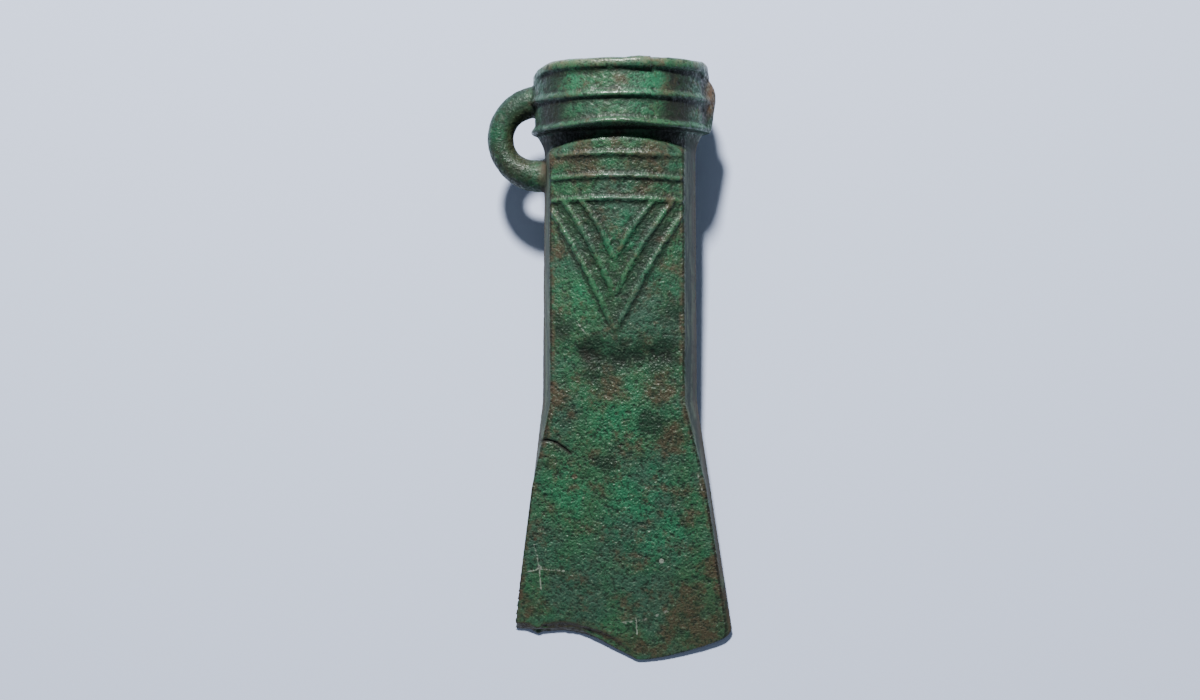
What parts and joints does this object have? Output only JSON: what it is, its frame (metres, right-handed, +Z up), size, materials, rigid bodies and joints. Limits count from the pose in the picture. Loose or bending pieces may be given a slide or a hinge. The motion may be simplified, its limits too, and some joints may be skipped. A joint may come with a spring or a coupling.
{
  "type": "socketed axe head",
  "caption": "Looped, socketed bronze axe head with a moulded collar, ribs and nested V's on its face, and a broken cutting edge.",
  "frame": {"origin": "middle of the bounding box, on the surface that the axe head lies on", "axes": "+Y from the cutting edge towards the mouth of the socket, +Z up, +X away from the loop"},
  "size_m": [0.058, 0.1448, 0.0381],
  "materials": {
    "patinated_bronze": "cast bronze under a mottled green patina with brown patches, matt and finely pitted, greyer and smoother on the side facets"
  },
  "bodies": {
    "root": {"axe_head": "patinated_bronze"}
  },
  "joints": []
}
